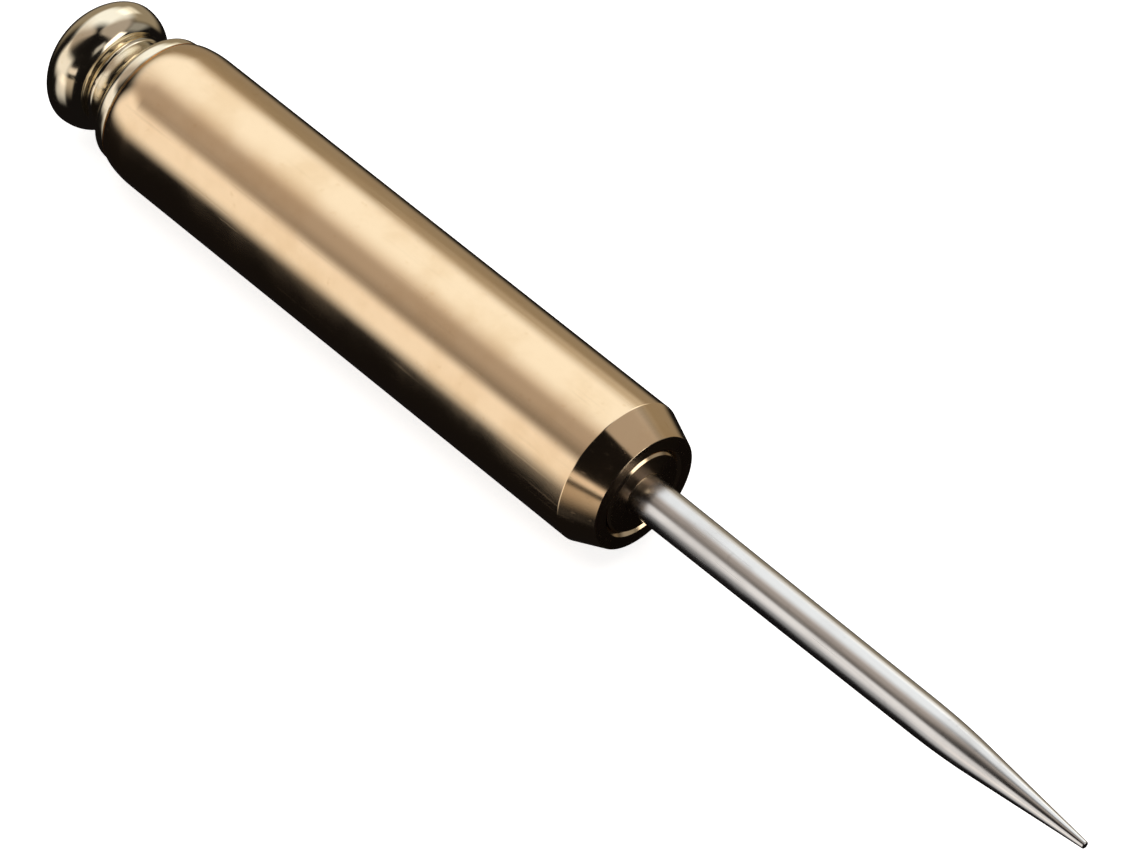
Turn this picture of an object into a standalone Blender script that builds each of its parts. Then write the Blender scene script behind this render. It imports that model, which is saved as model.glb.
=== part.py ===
"""Pricking awl with a turned brass handle, built as it comes apart on a bench.

The tool lies along X with its point at +X, on the surface z = 0.  The origin is
below the middle of its length.  A steel needle runs through a bush in the nose of
the handle.  A collar on its tang seats against that bush, and a rod, pressed by a
spring inside the screwed end knob, keeps the collar there.

Every length along the axis is measured from the flat face of the nose: forward,
towards the point, is positive, and back, towards the knob, is negative.
"""
import math

import bmesh
import bpy

MM = 0.001

# Smoothness of the turned pieces.
SIDES = 24
NEEDLE_SIDES = 16
THREAD_ROWS_PER_TURN = 5

# The gap left between pieces that touch on the real tool.
GAP = 0.3 * MM

# Handle barrel: a tube with a coned nose and a rounded rear shoulder.
BARREL_RADIUS = 7.25 * MM
BARREL_REAR = -63.75 * MM
NOSE_FACE_RADIUS = 5.9 * MM
NOSE_CONE_LENGTH = 3.3 * MM
SHOULDER_START = -60.8 * MM
SHOULDER_RADIUS = 6.62 * MM
SHOULDER_FULLNESS = 1.75
BORE_RADIUS = 4.2 * MM

# Nose bush, pressed into a counterbore at the front of the barrel.
BUSH_RADIUS = 4.1 * MM
BUSH_REAR = -12.0 * MM

# Needle: a tang and shank of nearly one size, then a long ground point.
NEEDLE_REACH = 53.0 * MM
NEEDLE_RADIUS = 2.0 * MM
SHANK_FRONT = 33.0 * MM
SHANK_FRONT_RADIUS = 1.845 * MM
CONE_REAR = 40.5 * MM
CONE_REAR_RADIUS = 1.53 * MM
TIP_RADIUS = 0.36 * MM
TANG_REAR = -20.0 * MM

# Collar on the tang, and the rod behind it.
COLLAR_LENGTH = 4.0 * MM
SLIDING_RADIUS = BORE_RADIUS - GAP
ROD_SHOULDER = -53.5 * MM
STEM_RADIUS = 1.3 * MM

# Screw thread between the knob's spigot and the barrel.
THREAD_PITCH = 1.0 * MM
THREAD_DEPTH = 0.5 * MM
THREAD_RUN_OUT = 0.4 * MM
SPIGOT_ROOT_RADIUS = 4.15 * MM
SPIGOT_CREST_RADIUS = SPIGOT_ROOT_RADIUS + THREAD_DEPTH
SPIGOT_FRONT = -55.9 * MM
SPIGOT_THREAD_FRONT = -56.2 * MM
SPIGOT_THREAD_REAR = -62.2 * MM
TAPPED_RADIAL_GAP = 0.35 * MM
TAPPED_MAJOR_RADIUS = SPIGOT_CREST_RADIUS + TAPPED_RADIAL_GAP
TAPPED_FRONT = -55.5 * MM
RELIEF_FRONT = -54.5 * MM

# Seal pocket in the mouth of the barrel, and the ring that sits in it.
SEAL_POCKET_RADIUS = 5.6 * MM
SEAL_POCKET_FLOOR = -62.35 * MM
SEAL_MIDDLE = -63.2 * MM
SEAL_RING_RADIUS = 4.9 * MM
SEAL_CORD_RADIUS = 0.42 * MM

# Spring pocket in the spigot, the spring and the washer under it.
SPRING_POCKET_RADIUS = 2.7 * MM
SPRING_POCKET_FLOOR = -61.9 * MM
WASHER_THICKNESS = 0.6 * MM
WASHER_OUTER_RADIUS = 2.35 * MM
WASHER_INNER_RADIUS = 1.65 * MM
SPRING_RADIUS = 1.95 * MM
SPRING_WIRE_RADIUS = 0.3 * MM
SPRING_TURNS = 6.5
SPRING_STEPS_PER_TURN = 14

# End knob: a rounded flange, a hollow neck and a flattened ball.
FLANGE_FRONT = BARREL_REAR - GAP
FLANGE_RADIUS = 6.6 * MM
FLANGE_EDGE = -64.6 * MM
FLANGE_REAR = -65.55 * MM
FLANGE_REAR_RADIUS = 5.8 * MM
NECK_MIDDLE = -67.9 * MM
NECK_RADIUS = 4.35 * MM
BALL_FRONT = -68.4 * MM
BALL_FRONT_RADIUS = 4.52 * MM
BALL_MIDDLE = -71.2 * MM
BALL_RADIUS = 6.45 * MM
KNOB_REAR = -75.25 * MM
CROWN_FULLNESS = 1.75

# Where the nose face and the axis lie in the tool's own frame.
NOSE_X = -(NEEDLE_REACH + KNOB_REAR) / 2
AXIS_HEIGHT = BARREL_RADIUS


def metal(name, colour, roughness, metallic=1.0):
    """A plain Principled material in one colour."""
    material = bpy.data.materials.new(name)
    material.use_nodes = True
    shader = material.node_tree.nodes["Principled BSDF"]
    shader.inputs["Base Color"].default_value = (*colour, 1.0)
    shader.inputs["Roughness"].default_value = roughness
    shader.inputs["Metallic"].default_value = metallic
    return material


def place(name, bm, material):
    """Turn a bmesh into an object whose origin is on the axis, at the nose face."""
    bmesh.ops.recalc_face_normals(bm, faces=bm.faces)
    mesh = bpy.data.meshes.new(name)
    bm.to_mesh(mesh)
    bm.free()
    mesh.shade_smooth()
    mesh.set_sharp_from_angle(angle=math.radians(30))
    mesh.materials.append(material)
    piece = bpy.data.objects.new(name, mesh)
    piece.location = (NOSE_X, 0.0, AXIS_HEIGHT)
    bpy.context.collection.objects.link(piece)
    return piece


def turned(profile, sides=SIDES, ring=False):
    """Spin (x, radius) points round the axis; a ring's profile closes on itself.

    The flats touch the named radius, and one of them faces straight down.
    """
    bm = bmesh.new()
    half_step = math.pi / sides
    reach = 1 / math.cos(half_step)
    points = []
    for x, radius in profile:
        y = radius * reach * math.sin(half_step)
        z = radius * reach * math.cos(half_step)
        points.append(bm.verts.new((x, y, z)))
    edges = [bm.edges.new(pair) for pair in zip(points, points[1:])]
    if ring:
        edges.append(bm.edges.new((points[-1], points[0])))
    bmesh.ops.spin(
        bm, geom=points + edges, cent=(0, 0, 0), axis=(1, 0, 0),
        angle=math.tau, steps=sides, use_merge=True,
    )
    bmesh.ops.remove_doubles(bm, verts=bm.verts, dist=0.001 * MM)
    return bm


def curve_between(start, end, steps, power=2.0):
    """Points of a quarter oval that leaves start level and meets end upright."""
    points = []
    for step in range(steps + 1):
        along = math.sin(step / steps * math.pi / 2)
        rise = (1 - along ** power) ** (1 / power)
        x = start[0] + (end[0] - start[0]) * along
        radius = end[1] + (start[1] - end[1]) * rise
        points.append((x, radius))
    return points


def thread_rows(front, rear):
    """Positions of the rings that carry a thread, from the front one to the rear one."""
    rows = math.ceil((front - rear) / THREAD_PITCH * THREAD_ROWS_PER_TURN)
    return [front + (rear - front) * row / rows for row in range(rows + 1)]


def cut_thread(bm, front, rear, turned_radius, root_radius, crest_radius):
    """Give the rings turned to turned_radius between front and rear a right-hand V thread.

    The thread fades back into the plain turning over its run-out at both ends.
    """
    reach = 1 / math.cos(math.pi / SIDES)
    tolerance = 0.01 * MM
    for vert in bm.verts:
        x, y, z = vert.co
        radius = math.hypot(y, z)
        if not rear - tolerance < x < front + tolerance:
            continue
        if abs(radius - turned_radius * reach) > tolerance:
            continue
        turn = (x / THREAD_PITCH - math.atan2(z, y) / math.tau) % 1.0
        height = 1 - abs(2 * turn - 1)
        full = root_radius + (crest_radius - root_radius) * height
        fade = min(1.0, (x - rear) / THREAD_RUN_OUT, (front - x) / THREAD_RUN_OUT)
        wanted = turned_radius + (full - turned_radius) * max(0.0, fade)
        vert.co.y = y * wanted * reach / radius
        vert.co.z = z * wanted * reach / radius


def make_barrel():
    """Turned brass tube, counterbored for the bush and tapped for the knob."""
    shoulder = curve_between(
        (SHOULDER_START, BARREL_RADIUS), (BARREL_REAR, SHOULDER_RADIUS), 5, SHOULDER_FULLNESS)
    bush_seat_radius = BUSH_RADIUS + GAP
    bush_seat_floor = BUSH_REAR - GAP
    profile = [(0.0, NOSE_FACE_RADIUS), (-NOSE_CONE_LENGTH, BARREL_RADIUS)]
    profile += shoulder
    profile += [(BARREL_REAR, SEAL_POCKET_RADIUS), (SEAL_POCKET_FLOOR, SEAL_POCKET_RADIUS)]
    tapped_rows = thread_rows(TAPPED_FRONT, SEAL_POCKET_FLOOR)
    profile += [(x, TAPPED_MAJOR_RADIUS) for x in reversed(tapped_rows)]
    profile += [
        (RELIEF_FRONT, TAPPED_MAJOR_RADIUS),
        (RELIEF_FRONT, BORE_RADIUS),
        (bush_seat_floor, BORE_RADIUS),
        (bush_seat_floor, bush_seat_radius),
        (0.0, bush_seat_radius),
    ]
    bm = turned(profile, ring=True)
    cut_thread(
        bm, TAPPED_FRONT, SEAL_POCKET_FLOOR,
        turned_radius=TAPPED_MAJOR_RADIUS,
        root_radius=TAPPED_MAJOR_RADIUS - THREAD_DEPTH,
        crest_radius=TAPPED_MAJOR_RADIUS,
    )
    return place("barrel", bm, metal("barrel_brass", (0.72, 0.46, 0.22), 0.18))


def make_nose_bush():
    """Brass bush with a bored hole for the needle, flush with the nose face."""
    hole_radius = NEEDLE_RADIUS + GAP
    profile = [
        (0.0, hole_radius), (0.0, BUSH_RADIUS), (BUSH_REAR, BUSH_RADIUS), (BUSH_REAR, hole_radius),
    ]
    return place("nose_bush", turned(profile, ring=True), metal("bush_brass", (0.70, 0.47, 0.25), 0.2))


def make_needle():
    """Hardened steel needle: square-ended tang, slightly tapered shank and ground point."""
    profile = [(NEEDLE_REACH, 0.0)]
    tip_steps = 3
    for step in range(1, tip_steps + 1):
        angle = step / tip_steps * math.pi / 2
        profile.append(
            (NEEDLE_REACH - TIP_RADIUS * (1 - math.cos(angle)), TIP_RADIUS * math.sin(angle)))
    # The ground cone runs into the shank through a soft shoulder, a three-point curve
    # whose middle point is where the cone's line would reach the shank.
    slope = (CONE_REAR_RADIUS - TIP_RADIUS) / (NEEDLE_REACH - TIP_RADIUS - CONE_REAR)
    corner = (CONE_REAR - (SHANK_FRONT_RADIUS - CONE_REAR_RADIUS) / slope, SHANK_FRONT_RADIUS)
    blend_steps = 5
    for step in range(blend_steps + 1):
        t = step / blend_steps
        weights = ((1 - t) ** 2, 2 * t * (1 - t), t ** 2)
        ends = ((CONE_REAR, CONE_REAR_RADIUS), corner, (SHANK_FRONT, SHANK_FRONT_RADIUS))
        x = sum(weight * point[0] for weight, point in zip(weights, ends))
        radius = sum(weight * point[1] for weight, point in zip(weights, ends))
        profile.append((x, radius))
    profile += [(0.0, NEEDLE_RADIUS), (TANG_REAR, NEEDLE_RADIUS), (TANG_REAR, 0.0)]
    bm = turned(profile, sides=NEEDLE_SIDES)
    return place("needle", bm, metal("needle_steel", (0.62, 0.62, 0.66), 0.15))


def make_needle_collar():
    """Steel collar pressed on the tang, which seats on the rear face of the bush."""
    front = BUSH_REAR - GAP
    rear = front - COLLAR_LENGTH
    hole_radius = NEEDLE_RADIUS + GAP
    profile = [
        (front, hole_radius), (front, SLIDING_RADIUS), (rear, SLIDING_RADIUS), (rear, hole_radius),
    ]
    return place("needle_collar", turned(profile, ring=True), metal("collar_steel", (0.5, 0.5, 0.52), 0.3))


def make_thrust_rod():
    """Brass rod that backs the collar: a socket over the tang, a body and a thin stem."""
    front = BUSH_REAR - GAP - COLLAR_LENGTH - GAP
    socket_radius = NEEDLE_RADIUS + GAP
    stem_rear = SPRING_POCKET_FLOOR + GAP
    profile = [
        (TANG_REAR - GAP, 0.0),
        (TANG_REAR - GAP, socket_radius),
        (front, socket_radius),
        (front, SLIDING_RADIUS),
        (ROD_SHOULDER, SLIDING_RADIUS),
        (ROD_SHOULDER, STEM_RADIUS),
        (stem_rear, STEM_RADIUS),
        (stem_rear, 0.0),
    ]
    return place("thrust_rod", turned(profile), metal("rod_brass", (0.66, 0.45, 0.22), 0.35))


def make_spring_washer():
    """Flat steel washer that lets the knob turn without winding up the spring."""
    rear = SPRING_POCKET_FLOOR + GAP
    front = rear + WASHER_THICKNESS
    profile = [
        (front, WASHER_INNER_RADIUS),
        (front, WASHER_OUTER_RADIUS),
        (rear, WASHER_OUTER_RADIUS),
        (rear, WASHER_INNER_RADIUS),
    ]
    return place("spring_washer", turned(profile, ring=True), metal("washer_steel", (0.55, 0.55, 0.56), 0.3))


def make_clamp_spring():
    """Helical spring of round wire round the stem of the rod, its end turns nearly closed."""
    front = ROD_SHOULDER - GAP - SPRING_WIRE_RADIUS
    rear = SPRING_POCKET_FLOOR + GAP + WASHER_THICKNESS + GAP + SPRING_WIRE_RADIUS
    steps = round(SPRING_TURNS * SPRING_STEPS_PER_TURN)
    closed_pitch = 2 * SPRING_WIRE_RADIUS + 0.15 * MM
    open_turns = SPRING_TURNS - 2
    open_pitch = (front - rear - 2 * closed_pitch) / open_turns

    def travel(turn):
        """How far back the wire is after so many turns."""
        first = min(turn, 1.0) * closed_pitch
        middle = min(max(turn - 1.0, 0.0), open_turns) * open_pitch
        last = max(turn - 1.0 - open_turns, 0.0) * closed_pitch
        return first + middle + last

    line = bpy.data.curves.new("clamp_spring", "CURVE")
    line.dimensions = "3D"
    line.bevel_depth = SPRING_WIRE_RADIUS
    line.bevel_resolution = 1
    line.use_fill_caps = True
    wire = line.splines.new("POLY")
    wire.points.add(steps)
    for step, point in enumerate(wire.points):
        turn = step / SPRING_STEPS_PER_TURN
        angle = turn * math.tau
        y = SPRING_RADIUS * math.cos(angle)
        z = SPRING_RADIUS * math.sin(angle)
        point.co = (front - travel(turn), y, z, 1.0)
    line.materials.append(metal("spring_steel", (0.4, 0.4, 0.42), 0.35))
    spring = bpy.data.objects.new("clamp_spring", line)
    spring.location = (NOSE_X, 0.0, AXIS_HEIGHT)
    bpy.context.collection.objects.link(spring)
    return spring


def make_knob_o_ring():
    """Rubber ring in the mouth of the barrel, which seals the knob and keeps it from loosening."""
    section = []
    section_sides = 8
    for side in range(section_sides):
        angle = (side + 0.5) / section_sides * math.tau
        x = SEAL_MIDDLE + SEAL_CORD_RADIUS * math.cos(angle)
        section.append((x, SEAL_RING_RADIUS + SEAL_CORD_RADIUS * math.sin(angle)))
    rubber = metal("o_ring_rubber", (0.02, 0.02, 0.02), 0.6, metallic=0.0)
    return place("knob_o_ring", turned(section, ring=True), rubber)


def make_end_knob():
    """One brass turning: flattened ball, hollow neck, flange and threaded spigot."""
    crown = curve_between((BALL_MIDDLE, BALL_RADIUS), (KNOB_REAR, 0.0), 7, CROWN_FULLNESS)
    profile = list(reversed(crown))
    # The front half of the ball is an oval cut short where the neck begins.
    profile += curve_between((BALL_MIDDLE, BALL_RADIUS), (BALL_FRONT, BALL_FRONT_RADIUS), 4)[1:]
    neck = curve_between((NECK_MIDDLE, NECK_RADIUS), (FLANGE_REAR, FLANGE_REAR_RADIUS), 5)
    profile += neck
    flange = curve_between((FLANGE_EDGE, FLANGE_RADIUS), (FLANGE_REAR, FLANGE_REAR_RADIUS), 3)
    profile += list(reversed(flange))[1:]
    profile += [(FLANGE_FRONT, FLANGE_RADIUS), (FLANGE_FRONT, SPIGOT_ROOT_RADIUS)]
    spigot_rows = thread_rows(SPIGOT_THREAD_FRONT, SPIGOT_THREAD_REAR)
    profile += [(x, SPIGOT_ROOT_RADIUS) for x in reversed(spigot_rows)]
    profile += [
        (SPIGOT_FRONT, SPIGOT_ROOT_RADIUS - GAP),
        (SPIGOT_FRONT, SPRING_POCKET_RADIUS),
        (SPRING_POCKET_FLOOR, SPRING_POCKET_RADIUS),
        (SPRING_POCKET_FLOOR, 0.0),
    ]
    bm = turned(profile)
    cut_thread(
        bm, SPIGOT_THREAD_FRONT, SPIGOT_THREAD_REAR,
        turned_radius=SPIGOT_ROOT_RADIUS,
        root_radius=SPIGOT_ROOT_RADIUS,
        crest_radius=SPIGOT_CREST_RADIUS,
    )
    return place("end_knob", bm, metal("knob_brass", (0.74, 0.60, 0.38), 0.15))


def clear_scene():
    """Start from nothing, so that the file holds only this tool."""
    for thing in list(bpy.data.objects):
        bpy.data.objects.remove(thing, do_unlink=True)


def main():
    clear_scene()
    make_barrel()
    make_nose_bush()
    make_needle()
    make_needle_collar()
    make_thrust_rod()
    make_spring_washer()
    make_clamp_spring()
    make_knob_o_ring()
    make_end_knob()


main()
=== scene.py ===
"""Looks of a single-point pricking awl: a steel needle in a turned brass handle.

The tool lies along X with its point at +X. Lengths along it are counted from the flat
nose face, forward positive, and radii from the axis, all in metres.
"""
import math

import bpy
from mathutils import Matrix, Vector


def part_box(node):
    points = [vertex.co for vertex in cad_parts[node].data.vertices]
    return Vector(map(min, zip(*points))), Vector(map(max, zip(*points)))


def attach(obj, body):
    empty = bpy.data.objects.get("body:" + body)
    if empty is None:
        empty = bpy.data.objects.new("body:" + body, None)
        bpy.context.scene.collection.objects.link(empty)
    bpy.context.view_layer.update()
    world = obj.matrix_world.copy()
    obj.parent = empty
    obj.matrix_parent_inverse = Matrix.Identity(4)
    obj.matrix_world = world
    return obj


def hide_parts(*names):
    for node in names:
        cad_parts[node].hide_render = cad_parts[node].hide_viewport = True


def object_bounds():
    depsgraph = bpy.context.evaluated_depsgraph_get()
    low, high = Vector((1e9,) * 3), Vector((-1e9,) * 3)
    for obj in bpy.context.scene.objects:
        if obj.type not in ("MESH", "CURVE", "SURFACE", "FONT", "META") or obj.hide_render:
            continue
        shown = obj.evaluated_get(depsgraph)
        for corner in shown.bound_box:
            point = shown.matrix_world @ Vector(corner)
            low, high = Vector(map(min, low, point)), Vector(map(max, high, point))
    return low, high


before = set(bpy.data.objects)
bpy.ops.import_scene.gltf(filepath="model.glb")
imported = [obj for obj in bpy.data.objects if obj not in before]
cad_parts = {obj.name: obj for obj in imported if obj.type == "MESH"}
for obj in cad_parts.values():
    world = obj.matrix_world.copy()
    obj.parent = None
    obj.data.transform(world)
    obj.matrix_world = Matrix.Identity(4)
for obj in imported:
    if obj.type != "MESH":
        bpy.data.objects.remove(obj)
cad_low, cad_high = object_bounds()
MM = 0.001

# ---------------------------------------------------------------------------
# Bench: a plain white table under soft studio panels and one lamp overhead. The polished
# metal doesn't mirror the table or the lamp, so the underside of the tool stays dark.
# ---------------------------------------------------------------------------
barrel_low, barrel_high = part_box("barrel")
NOSE_X = barrel_high.x
AXIS_HEIGHT = (barrel_low.z + barrel_high.z) / 2
TABLE_SIZE = 6.0
TABLE_WHITE = (0.9, 0.9, 0.9)
TABLE_GLOW = 0.8
TABLE_ROUGHNESS = 0.9
LAMP_HEIGHT = 1.4
LAMP_SIZE = 1.2
LAMP_POWER = 7.0
CAMERA_BEARING = math.radians(46.3475)
CAMERA_HEIGHT = math.radians(49.4674)
CAMERA_DISTANCE = 0.593633
AIM_RIGHT = -0.006416
AIM_UP = 0.005738
LENS = 215.53
SENSOR_WIDTH = 36.0

bpy.ops.object.select_all(action="DESELECT")
bpy.ops.mesh.primitive_plane_add(size=TABLE_SIZE, location=(0, 0, cad_low.z))
table = bpy.context.object
table.name = "table"
table.visible_glossy = False
table_white = bpy.data.materials.new("table_white")
table_white.use_nodes = True
table_shader = table_white.node_tree.nodes["Principled BSDF"]
table_shader.inputs["Base Color"].default_value = (*TABLE_WHITE, 1)
table_shader.inputs["Roughness"].default_value = TABLE_ROUGHNESS
table_shader.inputs["Specular IOR Level"].default_value = 0.0
table_shader.inputs["Emission Color"].default_value = (1, 1, 1, 1)
table_shader.inputs["Emission Strength"].default_value = TABLE_GLOW
table.data.materials.append(table_white)

bpy.ops.object.light_add(type="AREA", location=(0, 0, LAMP_HEIGHT))
lamp = bpy.context.object
lamp.data.size = LAMP_SIZE
lamp.data.energy = LAMP_POWER
lamp.visible_glossy = False
lamp.visible_camera = False

# Each panel: where it starts, is full, begins to fade and ends, first round the bench
# (0 is in front, -90 to the left, -180 behind), then above the horizon, in degrees, and
# last its colour.
PANELS = (
    ("back", (-190, -164, -125, -62), (12, 33, 58, 82), (1.06, 1.08, 1.09)),
    ("back_corner", (-172, -165, -156, -148), (0, 12, 26, 40), (0.62, 0.61, 0.58)),
    ("overhead", (-125, -78, -54, -20), (22, 40, 78, 90), (0.44, 0.375, 0.325)),
    ("front", (-75, -52, -14, 2), (-14, 9, 25, 41), (0.98, 0.93, 0.89)),
    ("front_low", (-31, -22, -6, 4), (-48, -24, -8, 4), (0.62, 0.6, 0.59)),
    ("front_side", (-10, 2, 18, 24), (11, 14, 19, 26), (0.92, 0.82, 0.74)),
    ("front_side_low", (-24, -12, 18, 26), (-34, 2, 3, 6.5), (0.5, 0.42, 0.34)),
    ("back_low", (-205, -185, -105, -85), (-32, -14, 16, 32), (0.3, 0.25, 0.18)),
    ("right_back", (-262, -246, -184, -166), (20, 36, 78, 90), (0.42, 0.37, 0.33)),
    ("right_strip", (-275, -265, -237, -228), (14, 20, 34, 42), (1.9, 1.85, 1.8)),
    ("right_low", (-236, -218, -205, -192), (-14, 4, 20, 30), (0.3, 0.29, 0.27)),
    ("right_front", (-306, -292, -276, -262), (34, 42, 48, 56), (0.5, 0.48, 0.46)),
)
PANEL_SEAM = 50.0
ROOM_DARK = (0.007, 0.006, 0.006)
BACKDROP = (0.93, 0.93, 0.94)

studio = bpy.data.worlds.new("studio")
bpy.context.scene.world = studio
studio.use_nodes = True
sky = studio.node_tree
sky.nodes.clear()


def sky_node(kind, **settings):
    """Add a node to the studio's surroundings and set it up."""
    node = sky.nodes.new(kind)
    for setting, value in settings.items():
        setattr(node, setting, value)
    return node


def sky_sum(operation, first, second=None, third=None):
    """One calculation on directions; sockets are linked and numbers are set."""
    node = sky_node("ShaderNodeMath", operation=operation)
    for socket, value in zip(node.inputs, (first, second, third)):
        if isinstance(value, (int, float)):
            socket.default_value = value
        elif value is not None:
            sky.links.new(value, socket)
    return node.outputs[0]


def soft_step(angle, start, end):
    """0 before start, 1 after end, with a smooth rise between."""
    node = sky_node("ShaderNodeMapRange", interpolation_type="SMOOTHSTEP")
    sky.links.new(angle, node.inputs["Value"])
    node.inputs["From Min"].default_value = start
    node.inputs["From Max"].default_value = end
    return node.outputs["Result"]


def soft_band(angle, start, full, fade, end):
    """Rises from start to full and falls from fade to end."""
    falling = sky_sum("SUBTRACT", 1.0, soft_step(angle, fade, end))
    return sky_sum("MULTIPLY", soft_step(angle, start, full), falling)


direction = sky_node("ShaderNodeTexCoord").outputs["Generated"]
parts_of_direction = sky_node("ShaderNodeSeparateXYZ")
sky.links.new(direction, parts_of_direction.inputs[0])
across, along, upward = parts_of_direction.outputs
round_bench = sky_sum("ARCTAN2", across, sky_sum("MULTIPLY", along, -1.0))
bearing = sky_sum("WRAP", sky_sum("DEGREES", round_bench), PANEL_SEAM, PANEL_SEAM - 360.0)
above = sky_sum("DEGREES", sky_sum("ARCSINE", upward))

light_so_far = None
for panel, bearings, heights, colour in PANELS:
    shape = sky_sum("MULTIPLY", soft_band(bearing, *bearings), soft_band(above, *heights))
    tint = sky_node("ShaderNodeVectorMath", operation="SCALE", name=panel)
    tint.inputs[0].default_value = colour
    sky.links.new(shape, tint.inputs["Scale"])
    added = sky_node("ShaderNodeVectorMath", operation="ADD")
    added.inputs[0].default_value = ROOM_DARK
    if light_so_far is not None:
        sky.links.new(light_so_far, added.inputs[0])
    sky.links.new(tint.outputs[0], added.inputs[1])
    light_so_far = added.outputs[0]

panels_light = sky_node("ShaderNodeBackground")
sky.links.new(light_so_far, panels_light.inputs["Color"])
backdrop_light = sky_node("ShaderNodeBackground")
backdrop_light.inputs["Color"].default_value = (*BACKDROP, 1)
seen_directly = sky_node("ShaderNodeLightPath").outputs["Is Camera Ray"]
sky_choice = sky_node("ShaderNodeMixShader")
sky.links.new(seen_directly, sky_choice.inputs[0])
sky.links.new(panels_light.outputs[0], sky_choice.inputs[1])
sky.links.new(backdrop_light.outputs[0], sky_choice.inputs[2])
sky_output = sky_node("ShaderNodeOutputWorld")
sky.links.new(sky_choice.outputs[0], sky_output.inputs["Surface"])
bpy.context.scene.view_settings.view_transform = "Standard"

right = (math.cos(CAMERA_BEARING), math.sin(CAMERA_BEARING), 0.0)
back = (
    math.sin(CAMERA_BEARING) * math.cos(CAMERA_HEIGHT),
    -math.cos(CAMERA_BEARING) * math.cos(CAMERA_HEIGHT),
    math.sin(CAMERA_HEIGHT),
)
up = (
    back[1] * right[2] - back[2] * right[1],
    back[2] * right[0] - back[0] * right[2],
    back[0] * right[1] - back[1] * right[0],
)
nose_centre = (NOSE_X, 0.0, AXIS_HEIGHT)
camera_place = [
    nose_centre[i] + AIM_RIGHT * right[i] + AIM_UP * up[i] + CAMERA_DISTANCE * back[i]
    for i in range(3)
]
bpy.ops.object.camera_add(
    location=camera_place, rotation=(math.pi / 2 - CAMERA_HEIGHT, 0, CAMERA_BEARING))
camera = bpy.context.object
camera.data.lens = LENS
camera.data.sensor_width = SENSOR_WIDTH
camera.data.clip_start = 0.01
bpy.context.scene.camera = camera

# ---------------------------------------------------------------------------
# Barrel: the handle, turned from brass bar and polished. It has a coned nose, a rounded
# rear shoulder, a counterbore for the bush, a bore for the rod and a tapped mouth.
# ---------------------------------------------------------------------------
SMOOTH_SIDES = 192
SAME_PLACE = 0.004 * MM
BARREL_RADIUS = (barrel_high.z - barrel_low.z) / 2
SEAM = 0.12 * MM
SEAM_MIDDLE = -63.9 * MM
BARREL_REAR = SEAM_MIDDLE + SEAM / 2
NOSE_FACE_RADIUS = 5.9 * MM
NOSE_CONE_LENGTH = 3.3 * MM
SHOULDER_START = -60.8 * MM
SHOULDER_RADIUS = 6.62 * MM
SHOULDER_FULLNESS = 1.75
SHOULDER_STEPS = 20
NOSE_EDGE = 0.07 * MM
REAR_EDGE = 0.14 * MM
MOUTH_EDGE = 0.05 * MM
BUSH_SEAT_CHAMFER = 0.3 * MM
BORE_RADIUS = 4.2 * MM
BUSH_SEAM = 0.05 * MM
BUSH_SEAT_CLEARANCE = 0.3 * MM
bush_low, bush_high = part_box("nose_bush")
BUSH_SEAM_RADIUS = (bush_high.z - bush_low.z + BUSH_SEAT_CLEARANCE) / 2
BUSH_REAR = -12.0 * MM
THREAD_PITCH = 1.0 * MM
THREAD_DEPTH = 0.5 * MM
THREAD_RUN_OUT = 0.4 * MM
ROWS_PER_TURN = 12
TAPPED_RADIUS = 5.0 * MM
TAPPED_FRONT = -55.5 * MM
RELIEF_FRONT = -54.5 * MM
SEAL_POCKET_RADIUS = 5.6 * MM
SEAL_POCKET_FLOOR = -62.35 * MM


def turn_on_lathe(name, outline, sides=SMOOTH_SIDES):
    """Turn a piece from (position, radius) points. An outline that ends where it began
    makes a ring; any other makes a solid bar with flat ends."""
    ring = outline[0] == outline[-1]
    bpy.ops.object.select_all(action="DESELECT")
    bpy.ops.mesh.primitive_circle_add(
        vertices=sides, radius=outline[0][1], fill_type="NOTHING" if ring else "TRIFAN",
        location=(NOSE_X + outline[0][0], 0, AXIS_HEIGHT), rotation=(0, math.pi / 2, 0))
    piece = bpy.context.object
    piece.name = name
    piece.data.name = name
    bpy.ops.object.transform_apply(location=True, rotation=True, scale=True)
    bpy.ops.object.mode_set(mode="EDIT")
    bpy.ops.mesh.select_mode(type="EDGE" if ring else "FACE")
    bpy.ops.mesh.select_all(action="SELECT")
    for (was_at, was_radius), (at, radius) in zip(outline, outline[1:]):
        bpy.ops.mesh.extrude_region_move(
            TRANSFORM_OT_translate={"value": (at - was_at, 0, 0)})
        growth = radius / was_radius
        bpy.ops.transform.resize(
            value=(1, growth, growth), center_override=(NOSE_X + at, 0, AXIS_HEIGHT))
    bpy.ops.mesh.select_all(action="SELECT")
    bpy.ops.mesh.remove_doubles(threshold=SAME_PLACE / 8)
    bpy.ops.mesh.normals_make_consistent(inside=False)
    bpy.ops.mesh.select_all(action="DESELECT")
    bpy.ops.object.mode_set(mode="OBJECT")
    return piece


def quarter_oval(start, end, steps, fullness=2.0):
    """Outline points that leave start level and meet end upright."""
    points = []
    for step in range(steps + 1):
        share = math.sin(step / steps * math.pi / 2)
        rise = (1 - share ** fullness) ** (1 / fullness)
        at = start[0] + (end[0] - start[0]) * share
        points.append((at, end[1] + (start[1] - end[1]) * rise))
    return points


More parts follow.
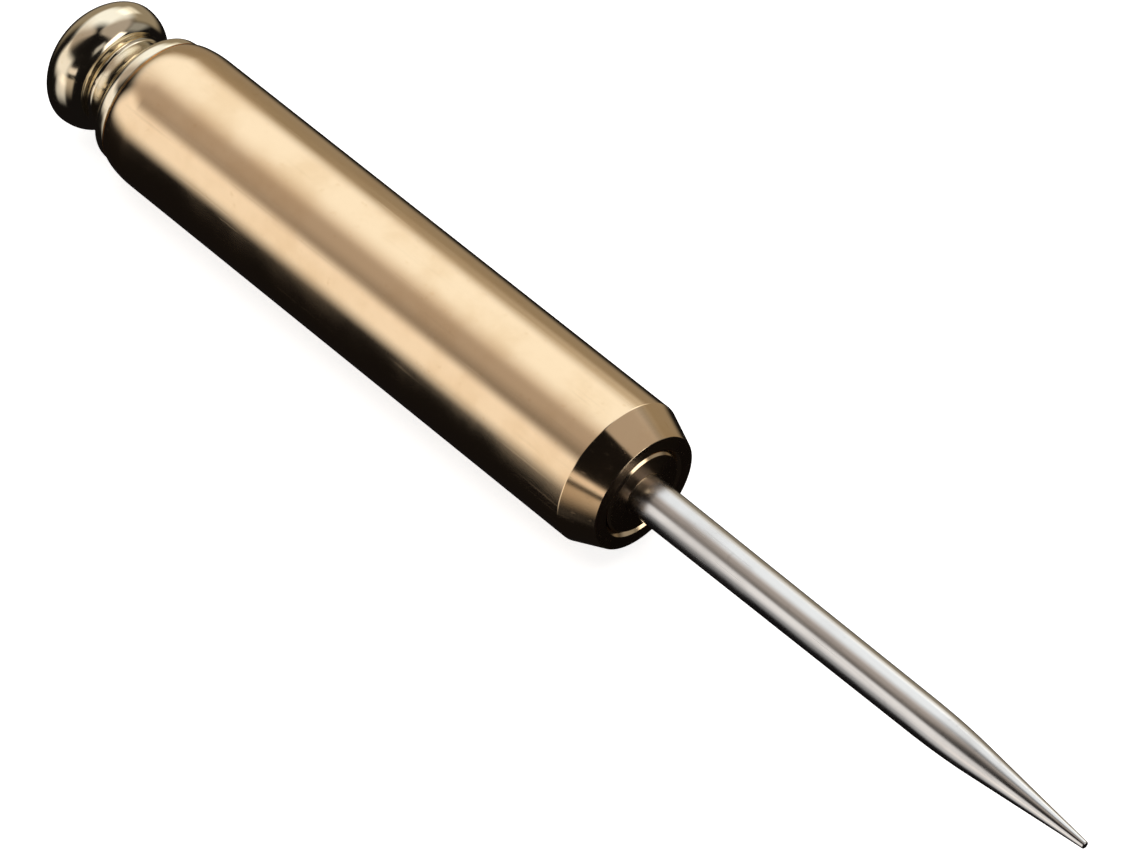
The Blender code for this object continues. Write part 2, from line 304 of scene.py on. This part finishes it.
def break_corners(piece, corners, width, segments=3):
    """Round the edge rings that lie at these (position, radius) corners."""
    for vertex in piece.data.vertices:
        at = vertex.co.x - NOSE_X
        radius = math.hypot(vertex.co.y, vertex.co.z - AXIS_HEIGHT)
        vertex.select = any(
            abs(at - corner[0]) < SAME_PLACE and abs(radius - corner[1]) < SAME_PLACE
            for corner in corners)
    for edge in piece.data.edges:
        first, second = (piece.data.vertices[i] for i in edge.vertices)
        same_ring = abs(first.co.x - second.co.x) < SAME_PLACE
        same_radius = abs(
            math.hypot(first.co.y, first.co.z - AXIS_HEIGHT)
            - math.hypot(second.co.y, second.co.z - AXIS_HEIGHT)) < SAME_PLACE
        edge.select = first.select and second.select and same_ring and same_radius
    for face in piece.data.polygons:
        face.select = False
    bpy.ops.object.mode_set(mode="EDIT")
    bpy.ops.mesh.select_mode(type="EDGE")
    bpy.ops.mesh.bevel(offset=width, segments=segments, affect="EDGES")
    bpy.ops.mesh.select_all(action="DESELECT")
    bpy.ops.object.mode_set(mode="OBJECT")


def thread_rows(front, rear):
    """Positions of the rings that carry a thread, from the rear one to the front one."""
    rows = math.ceil((front - rear) / THREAD_PITCH * ROWS_PER_TURN)
    return [rear + (front - rear) * row / rows for row in range(rows + 1)]


def cut_thread(piece, front, rear, turned_radius, root_radius, crest_radius):
    """Cut a right-hand V thread in the rings turned to turned_radius, fading at its ends."""
    for vertex in piece.data.vertices:
        at = vertex.co.x - NOSE_X
        y, z = vertex.co.y, vertex.co.z - AXIS_HEIGHT
        radius = math.hypot(y, z)
        in_these_rings = rear - SAME_PLACE < at < front + SAME_PLACE
        if not in_these_rings or abs(radius - turned_radius) > SAME_PLACE:
            continue
        turn = (at / THREAD_PITCH - math.atan2(z, y) / math.tau) % 1.0
        full = root_radius + (crest_radius - root_radius) * (1 - abs(2 * turn - 1))
        fade = max(0.0, min(1.0, (at - rear) / THREAD_RUN_OUT, (front - at) / THREAD_RUN_OUT))
        wanted = turned_radius + (full - turned_radius) * fade
        vertex.co.y = y * wanted / radius
        vertex.co.z = AXIS_HEIGHT + z * wanted / radius


def polish(piece, crease=32.0):
    """Smooth the curved faces and keep the flat ones flat right up to their edges."""
    bpy.ops.object.select_all(action="DESELECT")
    piece.select_set(True)
    bpy.context.view_layer.objects.active = piece
    bpy.ops.object.shade_smooth_by_angle(angle=math.radians(crease))
    bpy.ops.object.modifier_add(type="WEIGHTED_NORMAL")
    evening = piece.modifiers[-1]
    evening.keep_sharp = True
    bpy.ops.object.modifier_apply(modifier=evening.name)


def turned_metal(name, clean, worn, smooth, dull, lathe_marks, scratches):
    """Metal with a handling film, fine lathe rings, stray scratches and small dull spots."""
    material = bpy.data.materials.new(name)
    material.use_nodes = True
    nodes = material.node_tree.nodes
    links = material.node_tree.links
    shader = nodes["Principled BSDF"]
    shader.inputs["Metallic"].default_value = 1.0
    place = nodes.new("ShaderNodeTexCoord")

    def pattern(fineness, detail, stretch=(1, 1, 1), turn=(0, 0, 0)):
        """Noise in the piece's own space, stretched and turned about its axis."""
        mapping = nodes.new("ShaderNodeMapping")
        mapping.inputs["Location"].default_value = (0, 0, -AXIS_HEIGHT * stretch[2])
        mapping.inputs["Rotation"].default_value = turn
        mapping.inputs["Scale"].default_value = stretch
        links.new(place.outputs["Object"], mapping.inputs["Vector"])
        noise = nodes.new("ShaderNodeTexNoise")
        noise.inputs["Scale"].default_value = fineness
        noise.inputs["Detail"].default_value = detail
        links.new(mapping.outputs["Vector"], noise.inputs["Vector"])
        return noise.outputs["Fac"]

    def narrowed(source, low, high, at_low, at_high):
        """Stretch part of a pattern's range over the values that are wanted."""
        span = nodes.new("ShaderNodeMapRange")
        span.interpolation_type = "SMOOTHSTEP"
        span.inputs["From Min"].default_value = low
        span.inputs["From Max"].default_value = high
        span.inputs["To Min"].default_value = at_low
        span.inputs["To Max"].default_value = at_high
        links.new(source, span.inputs["Value"])
        return span.outputs["Result"]

    def added(first, second):
        """Sum of two patterns."""
        total = nodes.new("ShaderNodeMath")
        total.operation = "ADD"
        links.new(first, total.inputs[0])
        links.new(second, total.inputs[1])
        return total.outputs[0]

    film = pattern(fineness=170.0, detail=5.0)
    rings = pattern(fineness=90.0, detail=2.0, stretch=(60, 1, 1))
    scratch = pattern(fineness=330.0, detail=1.0, stretch=(0.25, 9, 9), turn=(0.5, 0.35, 0.2))
    spots = pattern(fineness=1500.0, detail=2.0)

    tone = nodes.new("ShaderNodeMix")
    tone.data_type = "RGBA"
    tone.inputs["A"].default_value = (*clean, 1)
    tone.inputs["B"].default_value = (*worn, 1)
    wear = added(
        narrowed(film, low=0.42, high=0.72, at_low=0.0, at_high=0.8),
        narrowed(spots, low=0.66, high=0.74, at_low=0.0, at_high=0.5))
    links.new(wear, tone.inputs["Factor"])
    links.new(tone.outputs["Result"], shader.inputs["Base Color"])

    gloss = added(
        narrowed(film, low=0.35, high=0.7, at_low=smooth, at_high=dull),
        narrowed(scratch, low=0.66, high=0.72, at_low=0.0, at_high=0.08))
    links.new(gloss, shader.inputs["Roughness"])

    relief = added(
        narrowed(rings, low=0.3, high=0.7, at_low=0.0, at_high=lathe_marks),
        narrowed(scratch, low=0.66, high=0.72, at_low=0.0, at_high=-scratches))
    bump = nodes.new("ShaderNodeBump")
    bump.inputs["Strength"].default_value = 0.6
    bump.inputs["Distance"].default_value = 0.001 * MM
    links.new(relief, bump.inputs["Height"])
    links.new(bump.outputs["Normal"], shader.inputs["Normal"])
    return material


def finish_piece(piece, material, node, body):
    """Give the piece its metal or rubber and hang it on the body it moves with."""
    piece.data.materials.clear()
    piece.data.materials.append(material)
    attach(piece, body)
    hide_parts(node)


bush_seat_radius = BUSH_SEAM_RADIUS + BUSH_SEAM / 2
barrel_outline = [(0.0, NOSE_FACE_RADIUS), (-NOSE_CONE_LENGTH, BARREL_RADIUS)]
barrel_outline += quarter_oval(
    (SHOULDER_START, BARREL_RADIUS), (BARREL_REAR, SHOULDER_RADIUS),
    SHOULDER_STEPS, SHOULDER_FULLNESS)
barrel_outline += [(BARREL_REAR, SEAL_POCKET_RADIUS), (SEAL_POCKET_FLOOR, SEAL_POCKET_RADIUS)]
barrel_outline += [(at, TAPPED_RADIUS) for at in thread_rows(TAPPED_FRONT, SEAL_POCKET_FLOOR)]
barrel_outline += [
    (RELIEF_FRONT, TAPPED_RADIUS),
    (RELIEF_FRONT, BORE_RADIUS),
    (BUSH_REAR, BORE_RADIUS),
    (BUSH_REAR, bush_seat_radius),
    (0.0, bush_seat_radius),
    (0.0, NOSE_FACE_RADIUS),
]
barrel = turn_on_lathe("barrel_shell", barrel_outline)
cut_thread(
    barrel, TAPPED_FRONT, SEAL_POCKET_FLOOR, turned_radius=TAPPED_RADIUS,
    root_radius=TAPPED_RADIUS - THREAD_DEPTH, crest_radius=TAPPED_RADIUS)
break_corners(barrel, [(0.0, bush_seat_radius)], BUSH_SEAT_CHAMFER, segments=1)
break_corners(barrel, [(0.0, NOSE_FACE_RADIUS), (-NOSE_CONE_LENGTH, BARREL_RADIUS)], NOSE_EDGE)
break_corners(barrel, [(BARREL_REAR, SHOULDER_RADIUS)], REAR_EDGE)
break_corners(barrel, [(BARREL_REAR, SEAL_POCKET_RADIUS)], MOUTH_EDGE)
polish(barrel)
barrel_brass = turned_metal(
    "barrel_brass", clean=(0.93, 0.72, 0.475), worn=(0.86, 0.63, 0.385),
    smooth=0.1, dull=0.17, lathe_marks=0.5, scratches=1.2)
finish_piece(barrel, barrel_brass, "barrel", "handle")
# A darker copy of the barrel brass for the flat nose faces. Its higher roughness is the real
# turned finish; its darker base colour is painted shade.
faced_brass_painted_shade = turned_metal(
    "faced_brass_painted_shade", clean=(0.42, 0.3, 0.19), worn=(0.3, 0.21, 0.13),
    smooth=0.24, dull=0.33, lathe_marks=1.2, scratches=1.0)
FLAT_FORWARD = 0.98


def roughen_and_shade_face(piece):
    """Give the flat nose face a rougher turned finish and a darker brass colour; the darker
    colour is painted shade that makes the face read dark.
    """
    piece.data.materials.append(faced_brass_painted_shade)
    for face in piece.data.polygons:
        if face.normal.x > FLAT_FORWARD:
            face.material_index = 1


roughen_and_shade_face(barrel)

# ---------------------------------------------------------------------------
# Nose bush: a brass sleeve pressed flush into the nose and bored for the needle. Its
# outer edge is chamfered, and so is its seat, so the seam is a small V groove.
# ---------------------------------------------------------------------------
NEEDLE_HOLE_RADIUS = 2.03 * MM
NEEDLE_HOLE_EDGE = 0.1 * MM
BUSH_CHAMFER = 0.2 * MM
bush_radius = BUSH_SEAM_RADIUS - BUSH_SEAM / 2
bush = turn_on_lathe("nose_bush_sleeve", [
    (0.0, bush_radius),
    (BUSH_REAR + SEAM, bush_radius),
    (BUSH_REAR + SEAM, NEEDLE_HOLE_RADIUS),
    (0.0, NEEDLE_HOLE_RADIUS),
    (0.0, bush_radius),
])
break_corners(bush, [(0.0, bush_radius)], BUSH_CHAMFER, segments=1)
break_corners(bush, [(0.0, NEEDLE_HOLE_RADIUS)], NEEDLE_HOLE_EDGE)
polish(bush)
finish_piece(bush, barrel_brass, "nose_bush", "handle")
# The bush's flat face also gets the rougher finish and the painted shade of the darker faced
# brass.
roughen_and_shade_face(bush)

# ---------------------------------------------------------------------------
# Needle: one hardened steel rod, ground to a long cone with a small blunt end and
# polished along its length. Its tang runs back through the bush into the handle.
# ---------------------------------------------------------------------------
needle_low, needle_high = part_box("needle")
NEEDLE_REACH = needle_high.x - NOSE_X
TANG_REAR = needle_low.x - NOSE_X
NEEDLE_RADIUS = (needle_high.z - needle_low.z) / 2
SHANK_FRONT = (33.0 * MM, 1.845 * MM)
CONE_REAR = (40.5 * MM, 1.53 * MM)
TIP_RADIUS = 0.36 * MM
TIP_LENGTH = 0.16 * MM
POLE_RADIUS = 0.02 * MM
TIP_STEPS = 8
POINT_STEPS = 14
NEEDLE_SIDES = 128
TANG_EDGE = 0.15 * MM

needle_outline = [(TANG_REAR, NEEDLE_RADIUS), (0.0, NEEDLE_RADIUS)]
cone_slope = (CONE_REAR[1] - TIP_RADIUS) / (NEEDLE_REACH - TIP_LENGTH - CONE_REAR[0])
cone_corner = (CONE_REAR[0] - (SHANK_FRONT[1] - CONE_REAR[1]) / cone_slope, SHANK_FRONT[1])
for step in range(POINT_STEPS + 1):
    share = step / POINT_STEPS
    weights = ((1 - share) ** 2, 2 * share * (1 - share), share ** 2)
    corners = (SHANK_FRONT, cone_corner, CONE_REAR)
    needle_outline.append((
        sum(weight * corner[0] for weight, corner in zip(weights, corners)),
        sum(weight * corner[1] for weight, corner in zip(weights, corners)),
    ))
needle_outline += quarter_oval(
    (NEEDLE_REACH - TIP_LENGTH, TIP_RADIUS), (NEEDLE_REACH, POLE_RADIUS), TIP_STEPS)
needle = turn_on_lathe("needle_rod", needle_outline, NEEDLE_SIDES)
break_corners(needle, [(TANG_REAR, NEEDLE_RADIUS)], TANG_EDGE)
polish(needle)
needle_steel = turned_metal(
    "needle_steel", clean=(0.76, 0.755, 0.745), worn=(0.67, 0.66, 0.65),
    smooth=0.17, dull=0.26, lathe_marks=0.4, scratches=0.9)
finish_piece(needle, needle_steel, "needle", "handle")

# ---------------------------------------------------------------------------
# Needle collar: a steel ring pressed on the tang, which seats on the back of the bush
# and stops the needle from being pulled out.
# ---------------------------------------------------------------------------
INNER_SIDES = 96
INNER_CHAMFER = 0.3 * MM
collar_low, collar_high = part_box("needle_collar")
collar_front = collar_high.x - NOSE_X
collar_rear = collar_low.x - NOSE_X
collar_radius = (collar_high.z - collar_low.z) / 2
collar = turn_on_lathe("needle_collar_ring", [
    (collar_front, collar_radius),
    (collar_rear, collar_radius),
    (collar_rear, NEEDLE_HOLE_RADIUS),
    (collar_front, NEEDLE_HOLE_RADIUS),
    (collar_front, collar_radius),
], INNER_SIDES)
collar_edges = [(collar_front, collar_radius), (collar_rear, collar_radius)]
break_corners(collar, collar_edges, INNER_CHAMFER, segments=1)
polish(collar)
inner_steel = turned_metal(
    "inner_steel", clean=(0.56, 0.56, 0.57), worn=(0.42, 0.41, 0.4),
    smooth=0.24, dull=0.4, lathe_marks=1.2, scratches=1.0)
finish_piece(collar, inner_steel, "needle_collar", "handle")

# ---------------------------------------------------------------------------
# Thrust rod: a brass rod in the bore that backs the needle. Its front is a socket over
# the tang and its rear a thin stem that guides the spring.
# ---------------------------------------------------------------------------
rod_low, rod_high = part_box("thrust_rod")
rod_front = rod_high.x - NOSE_X
stem_rear = rod_low.x - NOSE_X
rod_radius = (rod_high.z - rod_low.z) / 2
SOCKET_FLOOR = TANG_REAR - SEAM
ROD_SHOULDER = -53.5 * MM
STEM_RADIUS = 1.3 * MM
STEM_CHAMFER = 0.2 * MM
rod = turn_on_lathe("thrust_rod_bar", [
    (SOCKET_FLOOR, NEEDLE_HOLE_RADIUS),
    (rod_front, NEEDLE_HOLE_RADIUS),
    (rod_front, rod_radius),
    (ROD_SHOULDER, rod_radius),
    (ROD_SHOULDER, STEM_RADIUS),
    (stem_rear, STEM_RADIUS),
], INNER_SIDES)
rod_edges = [(rod_front, rod_radius), (ROD_SHOULDER, rod_radius)]
break_corners(rod, rod_edges, INNER_CHAMFER, segments=1)
break_corners(rod, [(stem_rear, STEM_RADIUS)], STEM_CHAMFER, segments=1)
polish(rod)
rod_brass = turned_metal(
    "rod_brass", clean=(0.78, 0.54, 0.27), worn=(0.6, 0.4, 0.2),
    smooth=0.22, dull=0.38, lathe_marks=1.6, scratches=1.0)
finish_piece(rod, rod_brass, "thrust_rod", "handle")

# ---------------------------------------------------------------------------
# Spring washer: a flat steel washer, punched from sheet, that lets the knob turn
# without winding up the spring.
# ---------------------------------------------------------------------------
washer_low, washer_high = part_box("spring_washer")
washer_front = washer_high.x - NOSE_X
washer_rear = washer_low.x - NOSE_X
washer_radius = (washer_high.z - washer_low.z) / 2
WASHER_HOLE_RADIUS = 1.65 * MM
PUNCHED_EDGE = 0.12 * MM
washer = turn_on_lathe("spring_washer_ring", [
    (washer_front, washer_radius),
    (washer_rear, washer_radius),
    (washer_rear, WASHER_HOLE_RADIUS),
    (washer_front, WASHER_HOLE_RADIUS),
    (washer_front, washer_radius),
], INNER_SIDES)
punched_edges = [(washer_front, washer_radius), (washer_front, WASHER_HOLE_RADIUS)]
break_corners(washer, punched_edges, PUNCHED_EDGE)
polish(washer)
finish_piece(washer, inner_steel, "spring_washer", "handle")

# ---------------------------------------------------------------------------
# Clamp spring: round steel wire coiled round the stem, its end turns closed up and
# ground flat. It takes up the slack between rod and knob.
# ---------------------------------------------------------------------------
WIRE_RADIUS = 0.3 * MM
WIRE_SIDES = 16
COIL_RADIUS = 1.95 * MM
COIL_TURNS = 6.5
CLOSED_TURNS = 1
STEPS_PER_TURN = 40
CLOSED_PITCH = 0.75 * MM
GRIND = 0.12 * MM
coil_low, coil_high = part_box("clamp_spring")
coil_front = coil_high.x - NOSE_X - WIRE_RADIUS
coil_rear = coil_low.x - NOSE_X + WIRE_RADIUS
open_turns = COIL_TURNS - 2 * CLOSED_TURNS
open_pitch = (coil_front - coil_rear - 2 * CLOSED_TURNS * CLOSED_PITCH) / open_turns
coil_centre = (NOSE_X, 0, AXIS_HEIGHT)

bpy.ops.object.select_all(action="DESELECT")
bpy.ops.mesh.primitive_circle_add(
    vertices=WIRE_SIDES, radius=WIRE_RADIUS, fill_type="NGON",
    location=(NOSE_X + coil_front, COIL_RADIUS, AXIS_HEIGHT), rotation=(0, 0, 0))
spring = bpy.context.object
spring.name = "clamp_spring_coil"
spring.data.name = "clamp_spring_coil"
bpy.ops.object.transform_apply(location=True, rotation=True, scale=True)
bpy.ops.object.mode_set(mode="EDIT")
bpy.ops.mesh.select_mode(type="FACE")
bpy.ops.mesh.select_all(action="SELECT")
for step in range(round(COIL_TURNS * STEPS_PER_TURN)):
    turn = step / STEPS_PER_TURN
    coil_is_open = CLOSED_TURNS <= turn < CLOSED_TURNS + open_turns
    pitch = open_pitch if coil_is_open else CLOSED_PITCH
    bpy.ops.mesh.extrude_region_move(
        TRANSFORM_OT_translate={"value": (-pitch / STEPS_PER_TURN, 0, 0)})
    bpy.ops.transform.rotate(
        value=-math.tau / STEPS_PER_TURN, orient_axis="X", center_override=coil_centre)
bpy.ops.mesh.select_all(action="SELECT")
bpy.ops.mesh.normals_make_consistent(inside=False)
for ground_at, facing in ((coil_front + GRIND, 1), (coil_rear - GRIND, -1)):
    bpy.ops.mesh.select_all(action="SELECT")
    bpy.ops.mesh.bisect(
        plane_co=(NOSE_X + ground_at, 0, AXIS_HEIGHT), plane_no=(facing, 0, 0),
        use_fill=True, clear_outer=True)
bpy.ops.mesh.select_all(action="DESELECT")
bpy.ops.object.mode_set(mode="OBJECT")
polish(spring)
finish_piece(spring, inner_steel, "clamp_spring", "handle")

# ---------------------------------------------------------------------------
# Seal ring: a moulded rubber ring in the mouth of the barrel, a little squeezed, with
# the fine flash line that the mould leaves inside and outside. It keeps the knob tight.
# ---------------------------------------------------------------------------
seal_low, seal_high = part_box("knob_o_ring")
SEAL_RING_RADIUS = 4.9 * MM
SEAL_CORD_RADIUS = 0.4 * MM
SEAL_SQUEEZE = 0.96
SEAL_SIDES = 144
FLASH = 0.025 * MM
SECTION_SIDES = 32
seal_middle = (seal_low.x + seal_high.x) / 2 - NOSE_X
seal_outline = []
for side in range(SECTION_SIDES + 1):
    angle = side % SECTION_SIDES / SECTION_SIDES * math.tau
    flash = FLASH if side % (SECTION_SIDES // 2) == SECTION_SIDES // 4 else 0.0
    seal_outline.append((
        seal_middle + SEAL_CORD_RADIUS * math.cos(angle),
        SEAL_RING_RADIUS + (SEAL_CORD_RADIUS * SEAL_SQUEEZE + flash) * math.sin(angle),
    ))
seal = turn_on_lathe("knob_seal_ring", seal_outline, SEAL_SIDES)
polish(seal, crease=60.0)

seal_rubber = bpy.data.materials.new("seal_rubber")
seal_rubber.use_nodes = True
rubber_nodes = seal_rubber.node_tree.nodes
rubber_links = seal_rubber.node_tree.links
rubber_shader = rubber_nodes["Principled BSDF"]
rubber_place = rubber_nodes.new("ShaderNodeTexCoord")
bloom = rubber_nodes.new("ShaderNodeTexNoise")
bloom.inputs["Scale"].default_value = 900.0
bloom.inputs["Detail"].default_value = 6.0
rubber_links.new(rubber_place.outputs["Object"], bloom.inputs["Vector"])
bloom_tone = rubber_nodes.new("ShaderNodeMix")
bloom_tone.data_type = "RGBA"
bloom_tone.inputs["A"].default_value = (0.012, 0.012, 0.013, 1)
bloom_tone.inputs["B"].default_value = (0.05, 0.05, 0.052, 1)
rubber_links.new(bloom.outputs["Fac"], bloom_tone.inputs["Factor"])
rubber_links.new(bloom_tone.outputs["Result"], rubber_shader.inputs["Base Color"])
rubber_gloss = rubber_nodes.new("ShaderNodeMapRange")
rubber_gloss.inputs["To Min"].default_value = 0.38
rubber_gloss.inputs["To Max"].default_value = 0.62
rubber_links.new(bloom.outputs["Fac"], rubber_gloss.inputs["Value"])
rubber_links.new(rubber_gloss.outputs["Result"], rubber_shader.inputs["Roughness"])
rubber_bump = rubber_nodes.new("ShaderNodeBump")
rubber_bump.inputs["Strength"].default_value = 0.4
rubber_bump.inputs["Distance"].default_value = 0.01 * MM
rubber_links.new(bloom.outputs["Fac"], rubber_bump.inputs["Height"])
rubber_links.new(rubber_bump.outputs["Normal"], rubber_shader.inputs["Normal"])
finish_piece(seal, seal_rubber, "knob_o_ring", "seal")

# ---------------------------------------------------------------------------
# End knob: one paler brass turning, with a flattened ball, a hollow neck, a rounded
# flange and a threaded spigot that is bored out for the spring. It unscrews.
# ---------------------------------------------------------------------------
knob_low, knob_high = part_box("end_knob")
KNOB_REAR = knob_low.x - NOSE_X
SPIGOT_FRONT = knob_high.x - NOSE_X
FLANGE_FRONT = SEAM_MIDDLE - SEAM / 2
FLANGE_RADIUS = 6.6 * MM
FLANGE_EDGE = -64.6 * MM
FLANGE_REAR = (-65.55 * MM, 5.8 * MM)
NECK = (-67.9 * MM, 4.35 * MM)
BALL_FRONT = (-68.4 * MM, 4.7 * MM)
NECK_REAR = (-68.0 * MM, 4.35 * MM)
BALL_MIDDLE = (-71.2 * MM, 6.45 * MM)
CROWN_FULLNESS = 1.75
CROWN_STEPS = 32
HOLLOW_STEPS = 18
FLANGE_STEPS = 12
FILLET_STEPS = 8
FLANGE_CORNER = 0.12 * MM
SPIGOT_RADIUS = 4.15 * MM
SPIGOT_THREAD = (-56.2 * MM, -62.2 * MM)
SPRING_POCKET_RADIUS = 2.7 * MM
SPRING_POCKET_FLOOR = -61.9 * MM
SPIGOT_LEAD_IN = 0.3 * MM

crown = quarter_oval(BALL_MIDDLE, (KNOB_REAR, POLE_RADIUS), CROWN_STEPS, CROWN_FULLNESS)
neck_fillet = quarter_oval(NECK_REAR, BALL_FRONT, FILLET_STEPS)
flange_back = quarter_oval((FLANGE_EDGE, FLANGE_RADIUS), FLANGE_REAR, FLANGE_STEPS)
knob_outline = crown[::-1]
knob_outline += quarter_oval(BALL_MIDDLE, BALL_FRONT, HOLLOW_STEPS)[1:]
knob_outline += neck_fillet[::-1][1:]
knob_outline += quarter_oval(NECK, FLANGE_REAR, HOLLOW_STEPS)
knob_outline += flange_back[::-1][1:]
knob_outline += [(FLANGE_FRONT, FLANGE_RADIUS), (FLANGE_FRONT, SPIGOT_RADIUS)]
knob_outline += [(at, SPIGOT_RADIUS) for at in thread_rows(*SPIGOT_THREAD)]
knob_outline += [
    (SPIGOT_FRONT, SPIGOT_RADIUS - SPIGOT_LEAD_IN),
    (SPIGOT_FRONT, SPRING_POCKET_RADIUS),
    (SPRING_POCKET_FLOOR, SPRING_POCKET_RADIUS),
]
knob = turn_on_lathe("end_knob_turning", knob_outline)
cut_thread(
    knob, *SPIGOT_THREAD, turned_radius=SPIGOT_RADIUS,
    root_radius=SPIGOT_RADIUS, crest_radius=SPIGOT_RADIUS + THREAD_DEPTH)
break_corners(knob, [(FLANGE_FRONT, FLANGE_RADIUS)], FLANGE_CORNER)
polish(knob)
knob_brass = turned_metal(
    "knob_brass", clean=(0.9, 0.81, 0.63), worn=(0.84, 0.73, 0.53),
    smooth=0.08, dull=0.14, lathe_marks=0.4, scratches=0.9)
finish_piece(knob, knob_brass, "end_knob", "knob")
